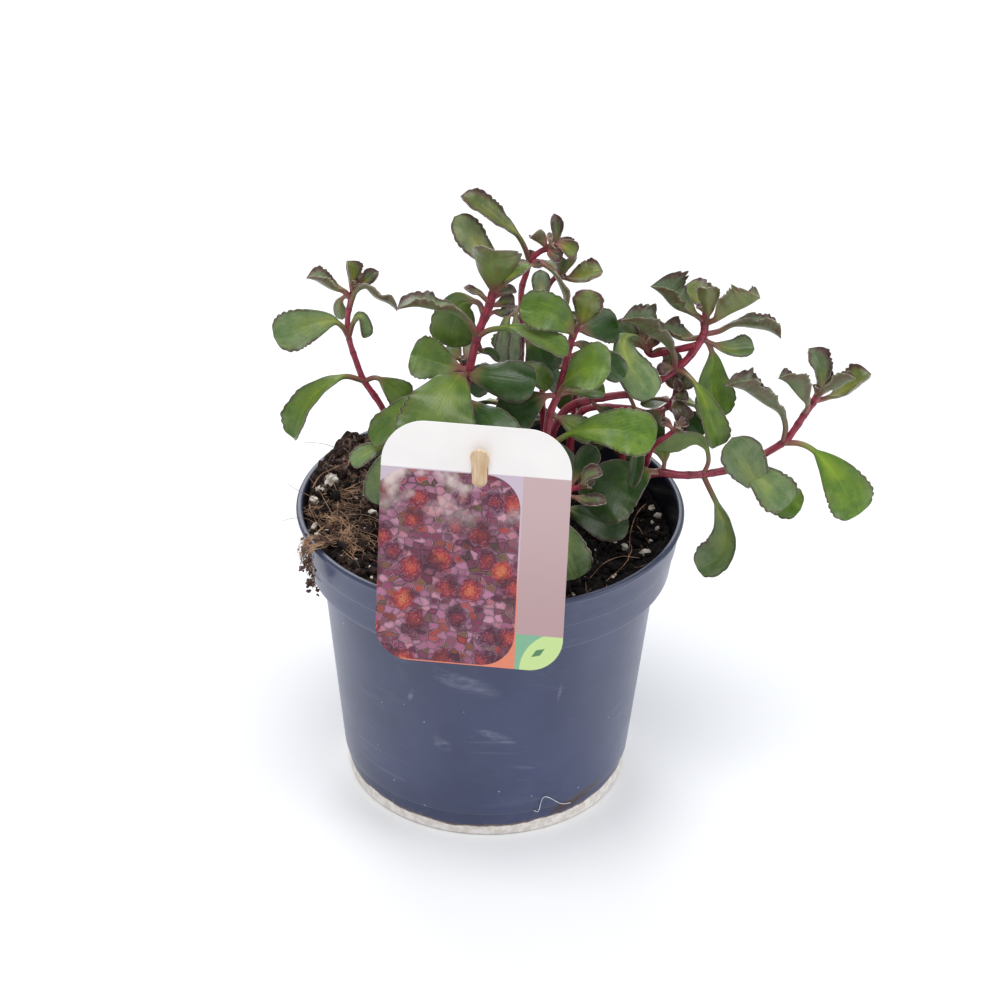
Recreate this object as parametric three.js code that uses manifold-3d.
// Potted purple winter two-row stonecrop: a nursery pot, its soil, a plant label and the leafy stems.
// Millimetres, +Z up, the pot's axis is Z, its underside is at z = 0 and the label is on the -Y side.
import * as THREE from "three";
import * as BufferGeometryUtils from "three/addons/utils/BufferGeometryUtils.js";
import Module from "manifold-3d";

const wasm = await Module();
wasm.setup();

// Driving dimensions of the pot
const POT_HEIGHT = 102.5;
const RIM_RADIUS = 65;
const LIP_HEIGHT = 2;
const COLLAR_LINE_DROP = 11;
const STEP_Z = 81;
const COLLAR_FOOT_RADIUS = 61;
const BODY_TOP_RADIUS = 56.5;
const CREASE_Z = 9.6;
const CREASE_RADIUS = 49.3;
const FOOT_RADIUS = 48;
const WALL = 1.3;
const FLOOR_Z = 3;
const FOOT_RING_WIDTH = 3;
const PAD_RADIUS = 11;
const DRAIN_HOLES = 6;
const DRAIN_RADIUS = 4.2;
const DRAIN_RING_RADIUS = 32;
const POT_SIDES = 40;

// Soil
const SOIL_GAP = 0.3;
const SOIL_LEVEL = 91.5;
const SOIL_SECTORS = 32;
const SOIL_RINGS = 7;
const ROOTED_DEPTH = 7;

// The plant is measured in the plane that faces the camera of the photograph
const VIEW_ELEVATION = THREE.MathUtils.degToRad(30.8);
const VIEW_DISTANCE = 1005;

const materials = {
  pot: new THREE.MeshStandardMaterial({ color: 0x565c78, roughness: 0.5, metalness: 0 }),
  soil: new THREE.MeshStandardMaterial({ color: 0x1e1512, roughness: 0.95, metalness: 0 }),
  perlite: new THREE.MeshStandardMaterial({ color: 0xe1dcd2, roughness: 0.9, metalness: 0 }),
  root: new THREE.MeshStandardMaterial({ color: 0x9a7448, roughness: 0.8, metalness: 0 }),
  card: new THREE.MeshStandardMaterial({ color: 0xf4f2ee, roughness: 0.35, metalness: 0 }),
  stake: new THREE.MeshStandardMaterial({ color: 0xd9bb96, roughness: 0.75, metalness: 0 }),
  plant: new THREE.MeshStandardMaterial({ color: 0x5f8c4b, roughness: 0.4, metalness: 0 }),
};

const part = new THREE.Group();

// Turns a closed geometry into a manifold solid.
function solidOf(geometry) {
  const bare = geometry.clone();
  bare.deleteAttribute("normal");
  bare.deleteAttribute("uv");
  const merged = BufferGeometryUtils.mergeVertices(bare, 1e-4);
  return new wasm.Manifold(new wasm.Mesh({
    numProp: 3,
    vertProperties: new Float32Array(merged.attributes.position.array),
    triVerts: new Uint32Array(merged.index.array),
  }));
}

// Turns a manifold solid back into a three.js geometry.
function geometryOf(solid) {
  const mesh = solid.getMesh();
  const geometry = new THREE.BufferGeometry();
  geometry.setAttribute("position", new THREE.BufferAttribute(new Float32Array(mesh.vertProperties), 3));
  geometry.setIndex(new THREE.BufferAttribute(new Uint32Array(mesh.triVerts), 1));
  geometry.computeVertexNormals();
  return geometry;
}

function addPiece(name, geometry, material) {
  const mesh = new THREE.Mesh(geometry, material);
  mesh.name = name;
  part.add(mesh);
}

// Points at even steps of arc length along a smooth curve through the given points.
function along(points, fractions) {
  const curve = new THREE.CatmullRomCurve3(points, false, "catmullrom", 0.5);
  return fractions.map((fraction) => curve.getPointAt(fraction));
}

function evenSteps(count) {
  return Array.from({ length: count + 1 }, (unused, step) => step / count);
}

// Closes a row of rings, each with the same number of points, into one skin.
// The second half of each ring is split the other way, so that two faces of a blade match.
function loft(rings, halved) {
  const size = rings[0].length;
  const positions = [];
  const index = [];
  rings.forEach((ring) => ring.forEach((point) => positions.push(point.x, point.y, point.z)));
  for (let row = 0; row < rings.length - 1; row += 1) {
    for (let place = 0; place < size; place += 1) {
      const a = row * size + place;
      const b = row * size + (place + 1) % size;
      const c = a + size;
      const d = b + size;
      if (halved && place >= size / 2) {
        index.push(a, b, c, b, d, c);
      } else {
        index.push(a, b, d, a, d, c);
      }
    }
  }
  const last = (rings.length - 1) * size;
  if (halved) {
    for (let place = 0; place < size / 2 - 1; place += 1) {
      const mate = size - 1 - place;
      index.push(place, mate, place + 1, mate, mate - 1, place + 1);
      index.push(last + place, last + place + 1, last + mate);
      index.push(last + mate, last + place + 1, last + mate - 1);
    }
  } else {
    for (let place = 1; place < size - 1; place += 1) {
      index.push(0, place + 1, place);
      index.push(last, last + place, last + place + 1);
    }
  }
  const geometry = new THREE.BufferGeometry();
  geometry.setAttribute("position", new THREE.Float32BufferAttribute(positions, 3));
  geometry.setIndex(index);
  return geometry;
}

// A round rod along a curve, tapering from one radius to the other.
function rod(points, startRadius, endRadius, sides, steps) {
  const middle = along(points, evenSteps(steps));
  let across = new THREE.Vector3(1, 0, 0);
  const rings = middle.map((point, step) => {
    const before = middle[Math.max(step - 1, 0)];
    const after = middle[Math.min(step + 1, steps)];
    const forward = after.clone().sub(before).normalize();
    across.addScaledVector(forward, -across.dot(forward)).normalize();
    const other = forward.clone().cross(across);
    const radius = THREE.MathUtils.lerp(startRadius, endRadius, step / steps);
    return Array.from({ length: sides }, (unused, side) => {
      const angle = (2 * Math.PI * side) / sides;
      return point.clone()
        .addScaledVector(across, radius * Math.cos(angle))
        .addScaledVector(other, radius * Math.sin(angle));
    });
  });
  return loft(rings, false);
}

// A point of the plant: how far across and up it lies in the picture, and how far back in the pot.
function seen([across, up, back]) {
  const rise = Math.sin(VIEW_ELEVATION);
  const level = Math.cos(VIEW_ELEVATION);
  const share = (back + level * VIEW_DISTANCE) / (rise * up + level * VIEW_DISTANCE);
  return new THREE.Vector3(
    share * across,
    back,
    POT_HEIGHT + rise * VIEW_DISTANCE + share * (level * up - rise * VIEW_DISTANCE),
  );
}

// The pot: a turned wall with a foot ring, a floor with drain holes and a flat pad at its middle
function potGeometry() {
  const lipBack = RIM_RADIUS - 0.9;
  const lineZ = POT_HEIGHT - COLLAR_LINE_DROP;
  const outer = [
    [0, 0],
    [PAD_RADIUS, 0],
    [PAD_RADIUS + 1.5, FLOOR_Z - 1.2],
    [FOOT_RADIUS - FOOT_RING_WIDTH - 1, FLOOR_Z - 1.2],
    [FOOT_RADIUS - FOOT_RING_WIDTH, 0],
    [FOOT_RADIUS - 0.5, 0],
    [FOOT_RADIUS, 0.8],
    [CREASE_RADIUS - 1.1, CREASE_Z - 0.6],
    [CREASE_RADIUS, CREASE_Z],
    [BODY_TOP_RADIUS, STEP_Z - 0.8],
    [COLLAR_FOOT_RADIUS - 0.7, STEP_Z],
    [COLLAR_FOOT_RADIUS, STEP_Z + 0.8],
    [lipBack - 1.8, lineZ - 0.5],
    [lipBack - 1.3, lineZ],
    [lipBack, POT_HEIGHT - LIP_HEIGHT],
    [RIM_RADIUS, POT_HEIGHT - LIP_HEIGHT + 0.5],
    [RIM_RADIUS, POT_HEIGHT - 0.5],
    [RIM_RADIUS - 0.5, POT_HEIGHT],
  ];
  const inner = [
    [RIM_RADIUS - 2, POT_HEIGHT],
    [RIM_RADIUS - 2.4, POT_HEIGHT - LIP_HEIGHT],
    [COLLAR_FOOT_RADIUS - WALL, STEP_Z + WALL],
    [BODY_TOP_RADIUS - WALL, STEP_Z - 1],
    [CREASE_RADIUS - WALL, CREASE_Z],
    [FOOT_RADIUS - WALL - 0.4, FLOOR_Z + 1],
    [FOOT_RADIUS - WALL - 1.4, FLOOR_Z],
    [0, FLOOR_Z],
  ];
  const profile = [...outer, ...inner].map(([radius, z]) => new THREE.Vector2(radius, z));
  const turned = new THREE.LatheGeometry(profile, POT_SIDES);
  turned.rotateX(Math.PI / 2);
  let pot = solidOf(turned);
  for (let hole = 0; hole < DRAIN_HOLES; hole += 1) {
    const angle = (2 * Math.PI * hole) / DRAIN_HOLES;
    const drill = new THREE.CylinderGeometry(DRAIN_RADIUS, DRAIN_RADIUS, 4 * FLOOR_Z, 12);
    drill.rotateX(Math.PI / 2);
    drill.translate(DRAIN_RING_RADIUS * Math.cos(angle), DRAIN_RING_RADIUS * Math.sin(angle), FLOOR_Z);
    pot = pot.subtract(solidOf(drill));
  }
  return geometryOf(pot);
}

// Radius of the pot's inner wall at a height
function innerRadius(z) {
  const body = (z - CREASE_Z) / (STEP_Z - CREASE_Z);
  const collar = (z - STEP_Z) / (POT_HEIGHT - STEP_Z);
  if (collar > 0) {
    return THREE.MathUtils.lerp(COLLAR_FOOT_RADIUS - WALL, RIM_RADIUS - 2.4, Math.min(collar, 1));
  }
  return THREE.MathUtils.lerp(CREASE_RADIUS - WALL, BODY_TOP_RADIUS - WALL, Math.max(body, 0));
}

function bump(x, y, middleX, middleY, spread) {
  const reach = ((x - middleX) ** 2 + (y - middleY) ** 2) / (spread * spread);
  return Math.exp(-reach);
}

// Height of the soil: low at the right, filled to the rim at the left, with a clod behind it there
function soilHeight(x, y) {
  const left = THREE.MathUtils.smoothstep(-x, 5, 58);
  const crumbX = Math.sin(0.83 * x + 1.7 * Math.sin(0.31 * y));
  const crumbY = Math.sin(0.71 * y + 1.3 * Math.sin(0.37 * x));
  const fine = Math.sin(1.9 * x + 0.7 * y) * Math.sin(1.7 * y - 0.9 * x);
  return SOIL_LEVEL + 7 * left + 10 * bump(x, y, -48, 34, 12) + 6 * bump(x, y, -57, 17, 8)
    + 0.9 * crumbX * crumbY + 0.5 * fine;
}

// Soil: the pot's inside, closed above by the crumbly surface
function soilGeometry() {
  const rings = [];
  const wallHeights = [FLOOR_Z + SOIL_GAP, CREASE_Z, STEP_Z - 1];
  const circle = (radius, height) => Array.from({ length: SOIL_SECTORS }, (unused, sector) => {
    const angle = (2 * Math.PI * sector) / SOIL_SECTORS;
    const x = radius * Math.cos(angle);
    const y = radius * Math.sin(angle);
    return new THREE.Vector3(x, y, height === null ? soilHeight(x, y) : height);
  });
  const floorRadius = FOOT_RADIUS - WALL - 1.4 - SOIL_GAP;
  const sectorShrink = Math.cos(Math.PI / POT_SIDES);
  rings.push(circle(floorRadius - 1, wallHeights[0]));
  rings.push(circle(innerRadius(wallHeights[1]) * sectorShrink - SOIL_GAP, wallHeights[1]));
  rings.push(circle(innerRadius(wallHeights[2]) * sectorShrink - SOIL_GAP, wallHeights[2]));
  rings.push(circle(innerRadius(STEP_Z + WALL) * sectorShrink - SOIL_GAP - 0.1, STEP_Z + WALL + 0.1));
  const edge = innerRadius(SOIL_LEVEL - 2) * sectorShrink - SOIL_GAP;
  for (let ring = 0; ring < SOIL_RINGS; ring += 1) {
    const share = 1 - ring / SOIL_RINGS;
    rings.push(circle(edge * share, null));
  }
  return loft(rings, false);
}

// Plant label and its stake, in a frame of its own: x across the card, z up its face, -y to the viewer
const CARD_WIDTH = 60;
const CARD_HEIGHT = 80;
const CARD_THICKNESS = 0.6;
const CARD_TOP_CORNER = 14;
const CARD_FOOT_CORNER = 11;
const CARD_LEAN = THREE.MathUtils.degToRad(12);
const CARD_YAW = THREE.MathUtils.degToRad(-7);
const CARD_BELOW_RIM = 19.2;
const CARD_SIDESTEP = 2.2;
const SLOT_WIDTH = 5.2;
const SLOT_HEIGHT = 6.4;
const SLOT_BELOW_TOP = 13.8;
const STAKE_SIDESTEP = 3.4;
const STAKE_THICKNESS = 0.8;
const STAKE_ABOVE_SLOT = 10.4;
const STAKE_TOP_WIDTH = 6;
const STAKE_WIDTH = 4.2;
const STAKE_LENGTH = 73;
const STAKE_TILT = THREE.MathUtils.degToRad(-5);

function roundedOutline(left, bottom, width, height, topCorner, footCorner) {
  const outline = new THREE.Shape();
  outline.moveTo(left + footCorner, bottom);
  outline.lineTo(left + width - footCorner, bottom);
  outline.absarc(left + width - footCorner, bottom + footCorner, footCorner, -Math.PI / 2, 0, false);
  outline.lineTo(left + width, bottom + height - topCorner);
  outline.absarc(left + width - topCorner, bottom + height - topCorner, topCorner, 0, Math.PI / 2, false);
  outline.lineTo(left + topCorner, bottom + height);
  outline.absarc(left + topCorner, bottom + height - topCorner, topCorner, Math.PI / 2, Math.PI, false);
  outline.lineTo(left, bottom + footCorner);
  outline.absarc(left + footCorner, bottom + footCorner, footCorner, Math.PI, 1.5 * Math.PI, false);
  return outline;
}

function cardFrame() {
  const turn = new THREE.Matrix4().makeRotationZ(CARD_YAW);
  const lean = new THREE.Matrix4().makeRotationX(-CARD_LEAN);
  const reach = RIM_RADIUS + 0.35;
  const place = new THREE.Matrix4().makeTranslation(0, -reach, POT_HEIGHT);
  return turn.multiply(place).multiply(lean);
}

function cardGeometry() {
  const left = CARD_SIDESTEP - CARD_WIDTH / 2;
  const outline = roundedOutline(
    left, -CARD_BELOW_RIM, CARD_WIDTH, CARD_HEIGHT, CARD_TOP_CORNER, CARD_FOOT_CORNER,
  );
  const slotTop = CARD_HEIGHT - CARD_BELOW_RIM - SLOT_BELOW_TOP;
  const slotLeft = STAKE_SIDESTEP - SLOT_WIDTH / 2;
  const slot = new THREE.Path();
  slot.moveTo(slotLeft, slotTop);
  const slotArcZ = slotTop - SLOT_HEIGHT + SLOT_WIDTH / 2;
  slot.lineTo(slotLeft, slotArcZ);
  slot.absarc(STAKE_SIDESTEP, slotArcZ, SLOT_WIDTH / 2, Math.PI, 2 * Math.PI, false);
  slot.lineTo(slotLeft + SLOT_WIDTH, slotTop);
  outline.holes.push(slot);
  const sheet = { depth: CARD_THICKNESS, bevelEnabled: false, curveSegments: 8 };
  const card = new THREE.ExtrudeGeometry(outline, sheet);
  card.rotateX(Math.PI / 2);
  card.applyMatrix4(cardFrame());
  return card;
}

// Where the stake crosses the card: the middle of the slot
function slotMiddle() {
  const height = CARD_HEIGHT - CARD_BELOW_RIM - SLOT_BELOW_TOP - SLOT_HEIGHT / 2;
  return new THREE.Vector3(STAKE_SIDESTEP, -CARD_THICKNESS / 2, height).applyMatrix4(cardFrame());
}

function stakeGeometry() {
  const outline = new THREE.Shape();
  const half = STAKE_WIDTH / 2;
  const headHalf = STAKE_TOP_WIDTH / 2;
  const headBase = STAKE_ABOVE_SLOT - headHalf;
  outline.moveTo(-0.7, STAKE_ABOVE_SLOT - STAKE_LENGTH);
  outline.lineTo(0.7, STAKE_ABOVE_SLOT - STAKE_LENGTH);
  outline.lineTo(half, STAKE_ABOVE_SLOT - STAKE_LENGTH + 6);
  outline.lineTo(half, 3);
  outline.lineTo(headHalf, headBase);
  outline.absarc(0, headBase, headHalf, 0, Math.PI, false);
  outline.lineTo(-half, 3);
  outline.lineTo(-half, STAKE_ABOVE_SLOT - STAKE_LENGTH + 6);
  const strip = { depth: STAKE_THICKNESS, bevelEnabled: false, curveSegments: 6 };
  const stake = new THREE.ExtrudeGeometry(outline, strip);
  stake.translate(0, 0, -STAKE_THICKNESS / 2);
  stake.rotateX(Math.PI / 2 - STAKE_TILT);
  stake.rotateZ(CARD_YAW);
  const middle = slotMiddle();
  stake.translate(middle.x, middle.y, middle.z);
  return stake;
}

// Leaves: an obovate blade on a narrow stalk, with rounded teeth towards the tip
const BLADE_RISE = 0.78;
const BLADE_POWER = 4;
const BLADE_WIDEST = (BLADE_RISE / (BLADE_RISE + BLADE_POWER / 2)) ** (1 / BLADE_POWER);
const BLADE_THICKNESS = 1.3;
const STALK_THICKNESS = 1.9;
const TOOTH_DEPTH = 0.09;
const BLADE_END = 0.985;

function bladeSwell(share) {
  return share ** BLADE_RISE * Math.sqrt(1 - share ** BLADE_POWER);
}

// Width of the blade as a share of its greatest, from 0 at its base to 1 at its tip
function bladeShare(share) {
  return bladeSwell(share) / bladeSwell(BLADE_WIDEST);
}

// Places along the blade, from the end of the stalk to the tip, and whether a tooth stands there
function bladeRows(teeth) {
  const rows = {
    0: [[0.35, 0], [0.75, 0], [BLADE_END, 0]],
    1: [[0.28, 0], [0.6, -1], [0.8, 1], [BLADE_END, 0]],
    2: [[0.25, 0], [0.52, -1], [0.68, 1], [0.8, -1], [0.9, 1], [BLADE_END, 0]],
    3: [[0.22, 0], [0.46, -1], [0.58, 1], [0.69, -1], [0.81, 1], [0.91, -1], [BLADE_END, 0]],
  };
  return rows[teeth];
}

function leafGeometry({ midrib, width, facing, fold, stalk, teeth }) {
  const rows = [[0, 0]];
  if (stalk > 0.2) {
    rows.push([stalk / 2, 0]);
  }
  rows.push([stalk, 0]);
  bladeRows(teeth).forEach(([share, tooth]) => rows.push([stalk + share * (1 - stalk), tooth]));
  const middle = along(midrib.map(seen), rows.map(([place]) => place));
  const forward = middle.map((point, row) => {
    const before = middle[Math.max(row - 1, 0)];
    const after = middle[Math.min(row + 1, rows.length - 1)];
    return after.clone().sub(before).normalize();
  });
  const widest = rows.findIndex(([place]) => place > stalk + 0.55 * (1 - stalk));
  const up = [];
  up[widest] = new THREE.Vector3(...facing);
  up[widest].addScaledVector(forward[widest], -up[widest].dot(forward[widest])).normalize();
  for (let row = widest + 1; row < rows.length; row += 1) {
    up[row] = up[row - 1].clone().addScaledVector(forward[row], -up[row - 1].dot(forward[row])).normalize();
  }
  for (let row = widest - 1; row >= 0; row -= 1) {
    up[row] = up[row + 1].clone().addScaledVector(forward[row], -up[row + 1].dot(forward[row])).normalize();
  }
  const stalkHalf = 0.5 + 0.035 * width;
  const rings = middle.map((point, row) => {
    const share = Math.max((rows[row][0] - stalk) / (1 - stalk), 0);
    const toothed = 1 + TOOTH_DEPTH * rows[row][1];
    const half = Math.max(stalkHalf, 0.5 * width * bladeShare(share) * toothed);
    const angle = THREE.MathUtils.degToRad(fold) * Math.min(share * 2 + 0.4, 1);
    const thickness = THREE.MathUtils.lerp(STALK_THICKNESS, BLADE_THICKNESS, Math.min(share * 3, 1));
    const side = forward[row].clone().cross(up[row]);
    const spot = (lateral, drop) => point.clone()
      .addScaledVector(side, lateral * half * Math.cos(angle))
      .addScaledVector(up[row], Math.abs(lateral) * half * Math.sin(angle) - drop);
    return [spot(-1, 0), spot(0, -thickness / 2), spot(1, 0), spot(0, thickness / 2)];
  });
  return loft(rings, true);
}

// The plant's plan: shoots and leaves in the order they are laid down
const plan = new Map();
let growing = null;

function ground(x, y) {
  const rise = Math.sin(VIEW_ELEVATION);
  const level = Math.cos(VIEW_ELEVATION);
  const depth = SOIL_LEVEL - ROOTED_DEPTH - POT_HEIGHT;
  const near = -level * y + rise * depth;
  const scale = 1 - near / VIEW_DISTANCE;
  return [x / scale, (rise * y + level * depth) / scale, y];
}

function shoot(name, path, startRadius, endRadius) {
  if (!plan.has(name)) {
    plan.set(name, { shoots: [], leaves: [] });
  }
  growing = plan.get(name);
  growing.shoots.push({ path, startRadius, endRadius });
}

function leaf(midrib, width, facing, fold, stalk, teeth) {
  growing.leaves.push({ midrib, width, facing, fold, stalk, teeth });
}

// Left stem, with three pairs of leaves and its tip
shoot("stem_left", [ground(-24, -2), [-27, 2, -1], [-31, 13, 0], [-36, 29.5, 1], [-43, 40, 2], [-46, 47, 2],
  [-48.5, 54.5, 3], [-49, 61, 3], [-48, 67, 4], [-47, 71, 4]], 1.25, 0.9);
leaf([[-43, 40, 2], [-50, 41.3, -2], [-57, 37.2, -5], [-62.7, 30.5, -7], [-66.7, 20, -8]],
  12.5, [-0.55, -0.6, 0.55], 32, 0.22, 3);
leaf([[-43, 40, 2], [-39, 41.2, 1], [-34.5, 38.3, 0], [-28.5, 33, -2]],
  10.5, [0.1, -0.6, 0.8], 12, 0.3, 1);
leaf([[-48.5, 54.5, 3], [-51, 58.3, 1], [-55, 60, -1], [-63, 58, -4], [-74, 54, -6]],
  13.5, [0.1, -0.9, 0.45], 8, 0.25, 3);
leaf([[-48.5, 54.5, 3], [-47, 59.5, 2], [-44.3, 61.5, 1], [-42.4, 54.3, 0]],
  5, [0.2, -0.5, 0.8], 25, 0.3, 0);
leaf([[-47.9, 68, 4.2], [-50, 68.3, 6.5], [-52, 65.5, 8], [-50.8, 60.5, 8]],
  4.5, [0, 0.7, -0.3], 15, 0.3, 0);
leaf([[-47.8, 67, 4], [-50.5, 70, 3], [-55, 71.3, 2], [-62.3, 75.6, 1]],
  9.5, [-0.1, 0, 1], 38, 0.25, 2);
leaf([[-47.4, 69, 4], [-48.1, 73, 3.5], [-48.3, 76.5, 3], [-48.8, 80, 2.4]],
  8, [0.75, -0.6, 0.2], 30, 0.3, 1);
leaf([[-46.8, 70.5, 4], [-44.7, 72.3, 4], [-42, 74.5, 4], [-39.3, 77, 4]],
  6, [-0.2, -0.8, 0.6], 30, 0.15, 1);
leaf([[-48.5, 64, 4], [-46.5, 70, 2], [-43, 71.7, 1], [-39, 68.3, 0], [-31.5, 65.8, -1]],
  9, [0, 0.5, 0.86], 10, 0.35, 1);
leaf([[-47.2, 70, 4], [-46.3, 73.5, 6], [-46.5, 76, 9]], 4.5, [0, -0.8, 0.6], 20, 0.2, 0);

// Front stem, the thickest one, behind the label
shoot("stem_front", [ground(-5, -16), [-7, -4, -16], [-10, 12, -16], [-10.5, 28, -15], [-8.5, 41, -14],
  [-5.5, 55.5, -12], [-2, 65, -10], [0, 72, -9]], 1.65, 1.3);
leaf([[-9, 43, -15], [-12, 41.5, -22], [-16, 35, -30], [-19, 26, -36], [-21, 15, -40]],
  26, [-0.1, -0.75, 0.65], -8, 0.08, 3);
leaf([[-9.5, 38, -14], [-18, 36, -19], [-27, 32.5, -22], [-34, 25.5, -24], [-40.5, 19, -25]],
  11, [-0.2, -0.5, 0.85], 20, 0.3, 2);
leaf([[-5.5, 55.5, -12], [-8.5, 60.5, -15], [-13, 63.8, -18], [-21, 65.2, -20], [-32.3, 67.3, -21]],
  13, [0, 0.2, 0.98], 22, 0.25, 3);
leaf([[-5.5, 55.5, -12], [-1, 58, -15], [6, 58.5, -18], [14, 56, -21], [25.5, 50.3, -24]],
  11, [0.1, -0.2, 0.95], 12, 0.3, 3);
leaf([[-3.5, 63, -10], [-5.5, 67, -7], [-11, 67, -3], [-13.5, 60, -2], [-14, 51.5, -3]],
  16, [-0.1, -0.8, 0.55], -8, 0.2, 1);
leaf([[-8.5, 44.5, -14], [-12, 45, -11], [-18, 46.5, -9], [-28, 49.5, -7]],
  15, [-0.2, -0.75, 0.65], 15, 0.15, 3);
leaf([[-8.5, 42.5, -14], [-5, 42.7, -18], [3, 42, -21], [15, 40.5, -23]],
  15, [0, -0.75, 0.65], -22, 0.02, 1);
leaf([[-8, 43.5, -14], [0, 45, -10], [9, 44.5, -11], [15, 43, -13], [19.5, 38.5, -14]],
  9, [0.2, -0.5, 0.85], 10, 0.35, 1);
leaf([[-10, 36, -15], [-5, 31, -22], [0, 26, -30], [6, 17, -37]], 15, [0.1, -0.8, 0.6], -5, 0.1, 1);
leaf([[-0.5, 70.5, -9], [-0.8, 74.5, -12], [-0.5, 79.5, -14], [0, 85.5, -15]],
  17.5, [0.1, 0.85, -0.45], 25, 0.05, 2);
leaf([[-0.5, 70, -9], [3, 73.5, -9.5], [7, 76.5, -9], [12, 80.5, -8]],
  8, [-0.4, -0.3, 0.85], 30, 0.2, 1);
leaf([[-1.5, 67, -10], [-5, 70, -10], [-7.5, 70.8, -10], [-9.7, 72.6, -10]],
  3.6, [0, -0.3, 0.95], 20, 0.2, 0);
leaf([[-1, 68, -9.5], [1.5, 69.8, -8], [4, 70.8, -7], [7.5, 71.8, -6]], 4, [0, -0.3, 0.95], 20, 0.2, 0);
leaf([[-1.8, 66, -10], [1.5, 66.5, -7], [4, 67.5, -6], [7.3, 67.5, -5]], 5, [0, -0.7, 0.7], 30, 0.2, 0);
leaf([[-2.5, 62, -10], [0, 64, -7], [3, 63.5, -5], [6, 66, -3]], 4.5, [0, -0.6, 0.8], 15, 0.3, 0);
leaf([[-5.5, 54, -12], [-4, 51, -9], [-1, 50.5, -8], [2, 47.5, -8]], 3.5, [0.3, -0.5, 0.8], 15, 0.3, 0);

// Low shoot behind the label's left edge
shoot("stem_low_left", [ground(-26, -24), [-27, -6, -24], [-28.5, 6, -23], [-30, 16, -22],
  [-30, 21, -21]], 1.2, 0.9);
leaf([[-30, 20, -21], [-36, 18.3, -22], [-41, 16.3, -23], [-47.3, 12.2, -23]],
  7, [-0.2, -0.7, 0.7], 10, 0.15, 1);
leaf([[-30, 19, -21], [-33, 16.5, -27], [-36, 8, -31], [-36.5, -2, -33]],
  12, [-0.2, -0.85, 0.45], 8, 0.15, 1);
leaf([[-30, 20, -21], [-25, 20, -27], [-19, 17, -31], [-13, 11, -33]], 10, [0.1, -0.7, 0.7], 8, 0.2, 1);
leaf([[-29.5, 14, -22], [-24, 13, -18], [-19, 10, -16]], 8, [0.1, -0.3, 0.95], 8, 0.2, 0);

// Centre stem, right of the label's slot
shoot("stem_centre", [ground(12, -18), [14, -6, -18], [16, 8, -17], [18, 22, -16],
  [19.3, 30, -15], [21.7, 36.5, -14],
  [24, 45, -13], [25.5, 53, -12], [28, 60.5, -11]], 1.45, 1.15);
leaf([[21.7, 36.5, -14], [25.5, 41.5, -17], [31, 45.5, -21], [39.5, 45, -25]],
  17, [-0.1, -0.6, 0.8], 10, 0.2, 1);
leaf([[21.7, 36.5, -14], [26, 37.8, -11], [31, 38.5, -9], [38, 37.8, -9]],
  9, [0, -0.3, 0.95], 8, 0.2, 1);
leaf([[26.3, 56.5, -12], [24.8, 60, -15], [20, 63.6, -18], [14, 65.2, -19], [8, 65.5, -19]],
  13, [0, -0.85, 0.5], 12, 0.04, 3);
leaf([[27.5, 59.5, -11], [29.5, 61.5, -14], [31, 66, -16], [32, 71.8, -16]],
  10.5, [0, -0.8, 0.6], -12, 0.2, 1);
leaf([[27.2, 58.5, -11], [31, 58.7, -7], [36, 59.7, -4], [42, 59.5, -2]],
  12.5, [0, -0.7, 0.7], 8, 0.15, 1);
leaf([[25.5, 53, -12], [28.5, 53.8, -10], [32.5, 52, -9]], 4, [0, -0.6, 0.8], 10, 0.2, 0);
leaf([[21.7, 36.5, -14], [17.5, 36, -15.5], [11, 32.5, -16.5], [3, 26.5, -18]],
  14, [0, -0.8, 0.6], -5, 0.15, 1);
leaf([[25, 49, -12.5], [30, 51, -13], [37, 48.5, -15], [44.3, 42.5, -17]],
  9, [0.1, -0.8, 0.6], 8, 0.15, 1);
leaf([[19.5, 30, -15], [24, 28, -12], [29, 25.5, -11], [34.5, 23, -11]],
  10, [0.1, -0.6, 0.8], 8, 0.2, 1);
leaf([[18.3, 23, -16], [22, 19, -13], [25, 14, -13], [27, 8, -14]], 8, [0.3, -0.7, 0.6], 8, 0.2, 0);
leaf([[18, 20, -16.5], [21, 20.7, -19], [27, 24, -22], [35, 25.5, -24], [45, 25, -25], [55.5, 21.8, -26]],
  15.5, [0, -0.8, 0.6], 5, 0.3, 3);

// Low shoots between the label and the right-hand rim
shoot("stem_low_centre", [ground(16, -24), [18, -10, -24], [21, -2, -24], [26, 4.3, -24],
  [31, 6.3, -25]], 1.25, 0.9);
leaf([[30, 6, -25], [31.5, 8, -27], [33.5, 10, -28], [37, 11, -29]],
  6.5, [-0.1, -0.4, 0.9], 28, 0.15, 0);
leaf([[25, 3, -24], [29, 2.2, -26], [33, 1.3, -28], [38.7, 1.8, -29]], 5.5, [0, -0.4, 0.9], 12, 0.2, 1);
leaf([[21, -2, -24], [26, -1.5, -20], [31, -3.5, -16], [38, -6, -14], [47, -6.8, -13]],
  12, [0, -0.75, 0.65], 5, 0.2, 1);
leaf([[20, -4, -24], [21, -6, -31], [25.5, -14, -37], [29.5, -25.3, -41]],
  14, [0.1, -0.85, 0.5], 8, 0.15, 2);
leaf([[26, 4.3, -24], [28.5, 9, -22], [31.5, 14.5, -21], [35, 19.5, -20]],
  8, [0, -0.8, 0.6], 8, 0.2, 0);
leaf([[19, -7, -24], [14, -5, -29], [8, -6, -33], [1, -9, -35]], 11, [-0.1, -0.6, 0.8], 8, 0.2, 1);

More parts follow.
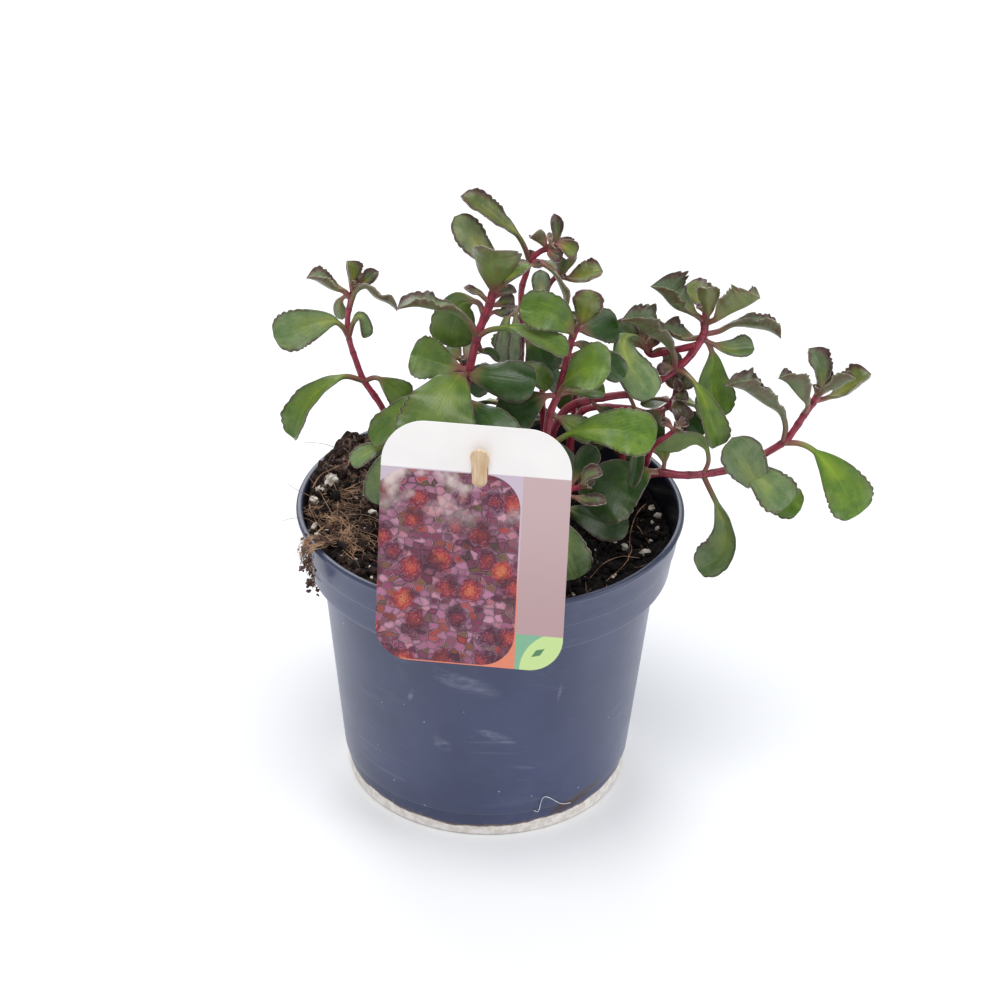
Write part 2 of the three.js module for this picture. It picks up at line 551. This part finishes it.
// Long shoot that reaches out over the rim at the right
shoot("stem_reaching", [ground(34, 6), [38, -4, 5], [43, 3, 2], [50, 9, -1], [56, 11.3, -3], [63, 10.6, -4],
  [71, 11, -4], [80, 12.8, -4], [86, 15.2, -4], [97.5, 22, -3], [101.3, 26.5, -3],
  [104.5, 31.5, -3], [109.3, 38.5, -2]], 1.5, 1.15);
leaf([[57.5, 11.3, -3], [58, 15, -2], [57, 19.5, -1], [53, 24.5, 0]], 8, [-0.3, -0.8, 0.5], 10, 0.2, 0);
leaf([[56, 11.3, -3], [52, 11.3, -8], [45, 8.5, -14], [38, 2.5, -18], [33, -2.5, -20]],
  21, [-0.1, -0.7, 0.7], 5, 0.15, 2);
leaf([[71, 11, -4], [72.8, 15.5, -4], [71.5, 20.8, -4], [67, 23.3, -4], [54.5, 20.5, -4]],
  9, [0, 0.85, 0.2], -15, 0.3, 1);
leaf([[71, 11, -4], [73.5, 6, -7], [76.5, 0, -9], [79.2, -7, -11], [77.7, -15, -13], [69.5, -21.5, -14]],
  14, [-0.45, -0.75, 0.45], 28, 0.25, 2);
leaf([[86, 15.2, -4], [89, 9, -9], [87.3, 12, -12], [80.5, 23.4, -13]],
  14.5, [-0.1, -0.85, 0.5], 5, 0.05, 1);
leaf([[86, 15.2, -4], [87.5, 12.5, -9], [93, 8, -12], [100.3, 1, -13]],
  14, [-0.1, -0.85, 0.5], 5, 0.05, 2);
leaf([[86, 15.2, -4], [91, 9.5, -2], [97, 4, -3], [104.3, -0.5, -4]],
  12.5, [0, -0.75, 0.65], 5, 0.1, 2);
leaf([[97.5, 22, -3], [98.3, 27.5, -4], [96.5, 32.3, -6], [91, 35.7, -8], [79.8, 43.4, -10]],
  13.5, [0.1, 0.12, 0.98], 40, 0.28, 3);
leaf([[97.5, 22, -3], [103.5, 21.8, -5], [109, 18.8, -7], [116, 11, -9], [123.6, -2, -11]],
  16.5, [0.1, -0.85, 0.5], 10, 0.28, 3);
leaf([[104.5, 31.5, -3], [105.6, 35.3, -5], [102.8, 38.3, -7], [96.8, 45.3, -8]],
  12, [0, 0.3, 0.95], 42, 0.26, 2);
leaf([[107.5, 36, -2], [109.5, 41, -1.5], [109.3, 47, -1], [106.8, 54, 0]],
  10, [0.5, -0.75, 0.4], 26, 0.24, 2);
leaf([[108.5, 37.7, -2.5], [111.7, 40.2, -5.5], [115.5, 41.3, -7], [120.8, 45.3, -7.5]],
  8.5, [-0.1, 0.35, 0.93], 42, 0.2, 1);
leaf([[107.5, 36, -1.5], [112, 37.3, 0], [118.5, 40, 1], [126, 46.5, 1]],
  11.5, [-0.2, -0.3, 0.93], 30, 0.25, 2);
leaf([[109, 38.5, -1.5], [111, 43, 1], [112.5, 47.5, 2]], 5, [0, -0.8, 0.6], 20, 0.2, 0);
shoot("stem_reaching", [[50, 9, -1], [52, 14.5, -3], [54, 19.8, -6], [58, 23, -8],
  [61.8, 25.9, -9]], 1, 0.85);
leaf([[61, 25.3, -9], [63, 27.5, -9], [66, 28.3, -9]], 3.6, [0, -0.6, 0.8], 15, 0.2, 0);
leaf([[61, 25.3, -9], [59, 27.5, -8], [56.5, 28.5, -7]], 3.6, [0, -0.6, 0.8], 15, 0.2, 0);

// Right stem: level at first, then rising to the top right, with a rosette on a side branch
shoot("stem_right", [ground(14, 3), [17, 8, 3], [20, 23, 2], [25, 32, 1], [33, 35.2, 0],
  [40, 36.6, 0], [47, 37.7, 0],
  [53, 40, 0], [61, 46, 0], [65.5, 50, 0], [70, 57, 0], [70.7, 62, 0], [71, 66, 0]], 1.5, 1.2);
leaf([[61, 46, 0], [65.5, 43.8, -4], [69.5, 38.5, -7], [73, 30, -9], [75.9, 20, -10]],
  11, [0.3, -0.85, 0.4], 32, 0.25, 3);
leaf([[61, 46, 0], [60.5, 51, -3], [57.3, 55, -5], [51.5, 58.3, -6], [44.5, 64.3, -7]],
  16, [0, 0, 1], 40, 0.28, 3);
leaf([[60.5, 45.8, 0], [58.5, 46.5, -3], [55, 45, -5]], 4.5, [0, -0.8, 0.6], 10, 0.2, 0);
leaf([[70, 57, 0], [66, 56.3, 2.5], [61.5, 56.8, 3.5], [56.5, 60.5, 4]], 11, [0, -0.1, 1], 34, 0.2, 1);
leaf([[70.2, 56, 0], [74.5, 54.3, -1], [80.5, 52.8, -2], [87.6, 53.6, -3]],
  9.5, [0.1, -0.5, 0.85], 24, 0.2, 2);
leaf([[70, 57, 0], [72.2, 54.5, 1], [73.5, 50, 2], [73.2, 42, 3], [74.8, 29.5, 3]],
  15, [0.2, -0.85, 0.45], 18, 0.2, 2);
leaf([[70.5, 60, 0], [69.5, 62.8, 0], [65.5, 65.3, 0], [60, 67.5, 0], [53.8, 74.8, 0]],
  18, [-0.1, -0.12, 0.98], 46, 0.22, 3);
leaf([[70.8, 62, 0], [70.6, 66.5, 6], [67.5, 70.5, 11], [63.5, 74.5, 14]], 13, [-0.1, 0.1, 0.98], 22, 0.25, 2);
leaf([[71.2, 62, -0.5], [71.8, 65.5, -3], [71.5, 69.5, -4.5], [71, 74, -4.5]],
  9.5, [0.1, 0.85, 0.25], 35, 0.2, 2);
leaf([[71, 61.5, 0], [74.5, 63, -3], [79.5, 65.8, -4], [85, 68.5, -4.5], [88.3, 71.8, -5]],
  17, [-0.1, 0.6, 0.8], 42, 0.2, 3);
leaf([[71.2, 58, 0], [75.5, 59, 2], [80.5, 61.3, 3], [88, 60.8, 3], [97, 59.3, 2]],
  12, [0, 0.3, 0.95], 34, 0.28, 3);
shoot("stem_right", [[68, 54, 0], [60, 52.3, 3], [53, 50.8, 5], [51.5, 53.5, 6]], 1.3, 1);
leaf([[52, 52, 5], [48, 54.5, 4], [44.5, 58, 3], [41, 61.3, 2]], 9, [-0.2, -0.8, 0.6], 10, 0.2, 1);
leaf([[51.5, 53, 6], [49.5, 57, 8], [48.5, 62, 9]], 6, [0.2, -0.8, 0.6], 20, 0.2, 0);
leaf([[51.7, 53, 6], [54.5, 57, 6], [57, 61.5, 7]], 6, [-0.2, -0.8, 0.6], 20, 0.2, 0);
leaf([[51.5, 53, 6], [52, 58, 10], [52.5, 62.5, 14]], 8, [0, -0.8, 0.6], 12, 0.2, 0);
leaf([[53, 51, 5], [56, 52.5, 5], [59, 50.5, 6], [59.8, 45.5, 7]], 8, [0.1, -0.8, 0.6], 10, 0.2, 1);
leaf([[52, 52.5, 5.5], [54, 54.5, 4], [55.7, 56.7, 3]], 2.6, [0, -0.8, 0.6], 10, 0.2, 0);
leaf([[51.5, 52.5, 5], [47.5, 56.5, 0], [43.5, 55.3, -5], [46, 47, -9], [54.8, 36.3, -11]],
  12.5, [0.15, -0.85, 0.5], -6, 0.28, 1);
leaf([[45.5, 37.4, 0], [48, 32, -6], [49.5, 26, -10], [49, 16, -15], [47.5, 5.8, -20]],
  5, [0, -0.8, 0.6], 15, 0.2, 0);
leaf([[33, 35, 0], [36, 32.3, -3], [39.5, 30.5, -4], [41.5, 27.5, -4]], 5, [0, -0.7, 0.7], 10, 0.2, 0);

// Second level stem at the right, which ends in a crinkled rosette
shoot("stem_right_rosette", [ground(22, 12), [24, 4, 10], [26.5, 22, 8], [29, 30, 7],
  [34, 32.7, 6], [45, 32.7, 5],
  [52, 31.3, 5], [58, 33, 5], [61, 36.5, 5], [62, 40, 5]], 1.3, 1);
leaf([[62, 38.5, 5], [60, 41.5, 4], [59, 45, 5]], 5, [0.1, -0.8, 0.6], 15, 0.2, 0);
leaf([[62, 38.5, 5], [64.5, 41, 4], [67.5, 42.5, 4]], 6, [-0.1, -0.7, 0.7], 20, 0.2, 0);
leaf([[61.7, 37.5, 5], [62.5, 36.7, 1], [65.5, 36.3, -1]], 5.5, [0, -0.5, 0.85], 25, 0.2, 0);
leaf([[62, 39, 5], [63, 43, 8], [65.5, 45.5, 10]], 6, [0, -0.8, 0.6], 15, 0.2, 0);
leaf([[62, 39, 5], [62.3, 40, 2], [61.5, 42.3, 0]], 3.6, [0, -0.9, 0.4], 20, 0.2, 0);
leaf([[60.5, 35.5, 5], [61.3, 34.5, 1], [63.3, 31.8, -2], [65.8, 28.3, -3]],
  6.5, [-0.1, -0.7, 0.7], 10, 0.2, 0);
leaf([[59, 33.5, 5], [62, 31, 3], [66, 28, 2], [71, 23.8, 1]], 11, [0, -0.75, 0.65], 8, 0.15, 1);
leaf([[58, 33, 5], [56.5, 31, 2], [54, 28.3, 0], [51, 23.5, -1]], 12, [0, -0.8, 0.6], 5, 0.15, 0);
leaf([[60, 35, 5], [64, 35, 9], [68, 34, 13], [71, 31, 16]], 10, [0.3, 0.1, 0.9], 8, 0.2, 1);
leaf([[60, 35, 5], [57, 36, 10], [55, 35.5, 15], [54, 33, 20]], 10, [-0.1, 0.3, 0.9], 8, 0.2, 1);

// Back stem, the tallest
shoot("stem_back", [ground(6, 12), [7, 6, 12], [8, 24, 12], [9, 44, 12], [9.5, 60, 12],
  [9, 71, 12], [10.5, 77, 12],
  [11.7, 81.3, 12], [15, 84.5, 12], [18.7, 86, 12]], 1.4, 0.95);
leaf([[11.5, 81, 12], [9.7, 86, 11], [6.7, 90.5, 10], [0.5, 95.2, 9], [-11, 103.8, 9]],
  9.5, [0.2, -0.45, 0.88], 20, 0.3, 3);
leaf([[11.3, 80, 12], [3, 80, 11], [-4, 84, 10], [-13.7, 95.8, 9]], 10.5, [0.1, -0.8, 0.6], 8, 0.2, 2);
leaf([[11.7, 81.3, 12], [15.5, 80.8, 10], [20, 77.5, 8], [23, 72, 6], [25, 66.5, 5]],
  8, [0.7, 0.3, 0.6], 8, 0.25, 1);
leaf([[9.2, 66, 12], [13.3, 68.5, 9.5], [15.3, 72.5, 9], [15.2, 78.5, 9]],
  6.5, [0.1, -0.8, 0.6], 15, 0.3, 0);
leaf([[11.5, 80.5, 12], [13.5, 79.8, 10], [16, 80.3, 9]], 3, [0, -0.6, 0.8], 15, 0.2, 0);
leaf([[11.7, 81.5, 12], [12, 83, 13], [12.7, 85, 14]], 3, [0, -0.8, 0.6], 15, 0.2, 0);
leaf([[17.7, 85.7, 12], [15.7, 87.5, 11], [11.8, 90, 10]], 7, [0, 0.8, 0.6], 30, 0.15, 1);
leaf([[18.7, 86, 12], [20.3, 91, 11.5], [19.8, 97, 11]], 5.2, [0.2, -0.9, 0.4], 30, 0.15, 1);
leaf([[18.3, 86, 12], [22, 86.8, 11], [27.3, 83.5, 10]], 7, [0, -0.6, 0.8], 25, 0.2, 1);
leaf([[18.3, 85.7, 12], [21.5, 87.3, 14.5], [26.5, 84.8, 15.5]], 6.5, [0, -0.3, 0.95], 26, 0.15, 1);
leaf([[18.3, 85.7, 12], [19, 83.8, 9], [22.5, 82.3, 8]], 6, [0, -0.6, 0.8], 20, 0.2, 0);
leaf([[18.3, 86, 12], [19, 89, 17], [21, 90, 20]], 5, [0, 0.2, 0.95], 20, 0.2, 0);
leaf([[9.5, 62, 12], [5, 63, 8], [3.3, 56, 6], [3, 46.5, 5]], 6, [0, -0.9, 0.3], 12, 0.2, 0);
leaf([[9.3, 66, 12], [7.5, 64, 7], [7.2, 56, 5], [7, 46, 4]], 5, [0, -0.9, 0.3], 12, 0.2, 0);
leaf([[9.3, 58, 12], [12.5, 55.5, 8], [15.5, 51, 6], [18, 43.5, 5]], 13, [0.1, -0.85, 0.5], 5, 0.15, 1);
leaf([[9.3, 58, 12], [9, 59, 18], [7, 56.5, 24], [4, 51, 29]], 13, [0, 0.4, 0.9], 8, 0.2, 2);
leaf([[9, 42, 12], [3, 43, 8], [-3, 41.5, 6], [-8, 37, 5]], 11, [0, -0.6, 0.8], 8, 0.2, 1);
leaf([[9, 42, 12], [14, 43, 11], [19, 42, 10], [23, 38, 10]], 11, [0, -0.2, 0.95], 8, 0.2, 1);

// Short stem behind the centre, with a brown cup at its tip
shoot("stem_behind", [ground(21, 22), [19, 8, 22], [17, 30, 21], [16.5, 50, 20], [16.7, 63, 19],
  [17.5, 71, 18],
  [19, 74.5, 18], [21.5, 77, 18]], 1.15, 0.85);
leaf([[21.3, 76, 18], [22.8, 78.5, 15.5], [23.8, 82.8, 14]], 11, [0, 0.8, 0.4], 38, 0.15, 2);
leaf([[21.5, 76.5, 18], [25, 75.7, 17], [30, 76.8, 16.5], [36, 79, 16]],
  10, [0, -0.45, 0.88], 22, 0.15, 2);
leaf([[21.3, 76.5, 18], [19.5, 79.5, 22], [17.5, 82, 26]], 7, [0, 0.2, 0.95], 20, 0.2, 0);
leaf([[16.7, 63, 19], [20, 64.5, 22], [24, 64.5, 26], [27, 61.5, 30]], 11, [0.2, 0.3, 0.9], 8, 0.2, 1);
leaf([[16.7, 63, 19], [13, 65, 23], [10, 66, 28], [7, 64, 33]], 11, [-0.1, 0.4, 0.9], 8, 0.2, 1);
leaf([[16.7, 45, 20], [21, 46, 23], [26, 46, 26], [30, 43, 30]], 12, [0.2, 0.2, 0.95], 8, 0.2, 2);

// Rear stems, which the photograph hides
shoot("stem_rear_left", [ground(-14, 20), [-13.5, 8, 20], [-12.5, 26, 21], [-11, 40, 22],
  [-10, 47, 22]], 1.3, 0.95);
leaf([[-11, 40, 22], [-15, 42.5, 25], [-20, 43.5, 29], [-25, 43, 33]],
  12, [-0.1, 0.2, 0.95], 8, 0.2, 2);
leaf([[-11, 40, 22], [-6, 43, 25], [-1, 44.5, 29], [4, 43, 34]], 12, [0.1, 0.2, 0.95], 8, 0.2, 2);
leaf([[-10.3, 45, 22], [-10, 46, 28], [-9.5, 44, 34], [-9, 38, 39]], 13, [0, 0.5, 0.85], 8, 0.2, 2);
leaf([[-10, 46.5, 22], [-13, 50, 23], [-16, 52, 24]], 8, [-0.2, -0.3, 0.9], 15, 0.2, 0);
leaf([[-10, 46.5, 22], [-7.5, 50.5, 24], [-5, 52, 26]], 8, [0.2, 0, 0.95], 15, 0.2, 0);
leaf([[-12.5, 26, 21], [-16.5, 28, 26], [-20, 29, 32], [-24, 26, 37]], 13, [-0.2, 0.3, 0.9], 8, 0.2, 2);
leaf([[-12.5, 26, 21], [-8, 28, 26], [-4, 29, 32], [-1, 27, 38]], 13, [0.1, 0.3, 0.9], 8, 0.2, 2);

shoot("stem_rear_right", [ground(27, 30), [26.5, 12, 30], [27, 26, 30], [28, 37, 30]], 1.2, 0.9);
leaf([[27, 26, 30], [22, 28, 34], [17, 28.5, 39], [13, 26, 43]], 12, [-0.2, 0.3, 0.9], 8, 0.2, 2);
leaf([[27, 26, 30], [30, 27, 34], [33.5, 26, 38], [36, 22, 42]], 12, [0.3, 0.3, 0.9], 8, 0.2, 2);
leaf([[27.8, 36, 30], [28, 37.5, 36], [27, 35.5, 42], [26, 31, 46]], 12, [0, 0.5, 0.85], 8, 0.2, 2);
leaf([[28, 36.5, 30], [25, 40, 31], [22.5, 42, 32]], 8, [-0.2, -0.3, 0.9], 15, 0.2, 0);
leaf([[28, 36.5, 30], [30, 39, 32], [31.5, 40.5, 34]], 7, [0.2, 0.2, 0.9], 15, 0.2, 0);

shoot("stem_rear_low", [ground(43, 22), [43.5, 8, 22], [44, 16, 22], [44.5, 21, 22]], 1.2, 0.9);
leaf([[44.3, 19.5, 22], [40, 21, 25], [37, 20.5, 29], [35, 18, 32]], 10, [-0.2, 0.3, 0.9], 8, 0.2, 1);
leaf([[44.3, 19.5, 22], [48, 22, 24], [51, 22.5, 27], [53, 20, 30]], 10, [0.3, 0.2, 0.9], 8, 0.2, 1);
leaf([[44.4, 20, 22], [45, 22.5, 28], [45, 20, 33], [45, 16, 37]], 11, [0.1, 0.5, 0.85], 8, 0.2, 1);
leaf([[44.4, 20.5, 22], [42.5, 24, 22], [41, 26, 21]], 6, [-0.2, -0.3, 0.9], 15, 0.2, 0);

shoot("stem_rear_middle", [ground(6, 38), [6, 14, 38], [6.5, 26, 38], [6.5, 33, 38]], 1.2, 0.9);
leaf([[6.5, 31, 38], [2, 33.5, 41], [-3, 33.5, 44], [-8, 30, 47]], 11, [-0.1, 0.4, 0.9], 8, 0.2, 1);
leaf([[6.5, 31, 38], [10, 33.3, 40.5], [13.5, 32.8, 43], [16.5, 30.5, 45]],
  10, [0.1, 0.4, 0.9], 8, 0.2, 1);
leaf([[6.5, 32.5, 38], [6.5, 36, 43], [6.5, 35, 48], [6, 31, 51]], 11, [0, 0.5, 0.85], 8, 0.2, 1);
leaf([[6.5, 32.5, 38], [4, 37, 39], [2, 40, 39]], 7, [-0.2, -0.3, 0.9], 15, 0.2, 0);
leaf([[6.5, 32.5, 38], [9, 36.5, 38], [11.5, 39, 38]], 7, [0.2, -0.3, 0.9], 15, 0.2, 0);

shoot("stem_rear_side", [ground(-24, 26), [-24.5, 8, 26], [-25, 18, 26.5], [-25, 24, 27]], 1.2, 0.9);
leaf([[-25, 22, 27], [-30, 24.5, 28], [-35, 24.3, 29], [-40, 21, 29]],
  11, [-0.3, 0.1, 0.95], 8, 0.2, 1);
leaf([[-25, 22, 27], [-22, 24.5, 31], [-19, 24.5, 36], [-16, 21.5, 41]],
  11, [0.2, 0.4, 0.9], 8, 0.2, 1);
leaf([[-25, 23, 27], [-27.5, 25, 32], [-30, 24.5, 38], [-32, 21, 42]], 10, [-0.1, 0.4, 0.9], 8, 0.2, 1);
leaf([[-25, 23.5, 27], [-27.5, 26.5, 26], [-30.5, 28, 25]], 7, [-0.2, -0.3, 0.9], 15, 0.2, 0);

// Each leafy stem is grown as one solid: its shoots and all its leaves are joined
const STEM_SIDES = 5;
const STEM_STEPS = 1.15;
const stemSolids = new Map();
const sockets = [];
plan.forEach(({ shoots, leaves }, name) => {
  const pieces = [];
  shoots.forEach(({ path, startRadius, endRadius }) => {
    const points = path.map(seen);
    const steps = Math.max(4, Math.round(STEM_STEPS * points.length));
    const room = SOIL_GAP + 0.1;
    pieces.push(solidOf(rod(points, startRadius, endRadius, STEM_SIDES, steps)));
    if (points[0].z < SOIL_LEVEL) {
      sockets.push(solidOf(rod(points, startRadius + room, endRadius + room, STEM_SIDES, steps)));
    }
  });
  leaves.forEach((blade) => pieces.push(solidOf(leafGeometry(blade))));
  stemSolids.set(name, wasm.Manifold.union(pieces));
});

// Perlite crumbs: place on the soil, and size
const PERLITE = [
  [-54, 12.5, 2.4], [-57.6, 8.6, 1.4], [-59.3, 2.6, 1.5], [-58.3, -10.3, 1.4], [-39.5, 1, 1.2],
  [51, 28, 1.5], [55, 16, 1.2], [52, -13, 1.5], [45, -10, 1.2],
];

function perliteSolid(x, y, radius, order) {
  const lump = new THREE.IcosahedronGeometry(radius, radius > 2 ? 1 : 0);
  lump.scale(1.2, 0.95, 0.85);
  lump.rotateZ(order * 1.7);
  lump.translate(x, y, soilHeight(x, y) + 0.35 * radius);
  return lump;
}

// Roots that lie on the soil at the left and hang over the rim
const ROOT_RADIUS = 0.5;
const ROOT_LIFT = 1.3;
const ROOTS = [
  [[-56, 3], [-50, 7], [-42, 13], [-36, 15]],
  [[-58.6, -4.5], [-56, 3], [-52, 1], [-46, 6], [-39, 9]],
  [[-57, -15.5], [-54, -11], [-50.5, -8], [-45, -11], [-41, -17], [-38, -24]],
  [[-56, 3], [-56, -4], [-53, -8], [-50.5, -8], [-49, -14], [-50, -20], [-47, -27], [-43, -33]],
  [[-55.5, -18], [-50, -20], [-46, -17], [-44, -23], [-45, -30]],
];
const ROOT_SPILL = [
  [[-50, -20, 99.3], [-52, -25, 101.6], [-54.3, -29.5, 103.8], [-57, -32.3, 104], [-58.6, -33, 101.5],
    [-58, -32.6, 95], [-56.8, -31.8, 87]],
  [[-53, -27.5, 102.4], [-55.3, -27, 103.9], [-59.3, -28, 104], [-61, -29.2, 100.5], [-60, -30, 95.5],
    [-58, -32.6, 95]],
];
const CRUMB_CLUMPS = [[-60.3, -33.2, 97, 2.6], [-58.7, -34, 91, 2.1]];

function rootGeometry(route, radius) {
  const points = route.map(([x, y, z]) => new THREE.Vector3(x, y, z ?? soilHeight(x, y) + ROOT_LIFT));
  return rod(points, radius, radius, 4, Math.round(1.4 * points.length));
}

function clumpGeometry([x, y, z, radius]) {
  const clump = new THREE.IcosahedronGeometry(radius, 1);
  clump.scale(0.9, 0.8, 1.5);
  clump.translate(x, y, z);
  return clump;
}

const rootTangle = wasm.Manifold.union([
  ...[...ROOTS, ...ROOT_SPILL].map((route) => solidOf(rootGeometry(route, ROOT_RADIUS))),
  ...CRUMB_CLUMPS.map((clump) => solidOf(clumpGeometry(clump))),
]);

// The soil with plain holes for the stems, the stake and the crumbs
function finishedSoil() {
  let soil = solidOf(soilGeometry());
  sockets.forEach((socket) => {
    soil = soil.subtract(socket);
  });
  const stake = stakeGeometry();
  stake.computeBoundingBox();
  const size = stake.boundingBox.getSize(new THREE.Vector3());
  const middle = stake.boundingBox.getCenter(new THREE.Vector3());
  const slit = new THREE.BoxGeometry(STAKE_WIDTH + 1, STAKE_THICKNESS + 0.9, size.z + 1);
  slit.rotateX(-STAKE_TILT);
  slit.rotateZ(CARD_YAW);
  slit.translate(middle.x, middle.y, middle.z);
  soil = soil.subtract(solidOf(slit));
  ROOTS.forEach((route) => {
    soil = soil.subtract(solidOf(rootGeometry(route, ROOT_RADIUS + SOIL_GAP)));
  });
  PERLITE.forEach(([x, y, radius], order) => {
    const lump = perliteSolid(x, y, radius, order);
    lump.computeBoundingBox();
    const centre = lump.boundingBox.getCenter(new THREE.Vector3());
    lump.translate(-centre.x, -centre.y, -centre.z);
    lump.scale(1 + SOIL_GAP / radius, 1 + SOIL_GAP / radius, 1 + SOIL_GAP / radius);
    lump.translate(centre.x, centre.y, centre.z);
    soil = soil.subtract(solidOf(lump));
  });
  return soil;
}

addPiece("pot", potGeometry(), materials.pot);
addPiece("soil", geometryOf(finishedSoil()), materials.soil);
PERLITE.forEach(([x, y, radius], order) => {
  addPiece(`perlite_${order + 1}`, perliteSolid(x, y, radius, order), materials.perlite);
});
addPiece("root_tangle", geometryOf(rootTangle), materials.root);
addPiece("label_card", cardGeometry(), materials.card);
addPiece("label_stake", stakeGeometry(), materials.stake);
stemSolids.forEach((solid, name) => addPiece(name, geometryOf(solid), materials.plant));

export default part;
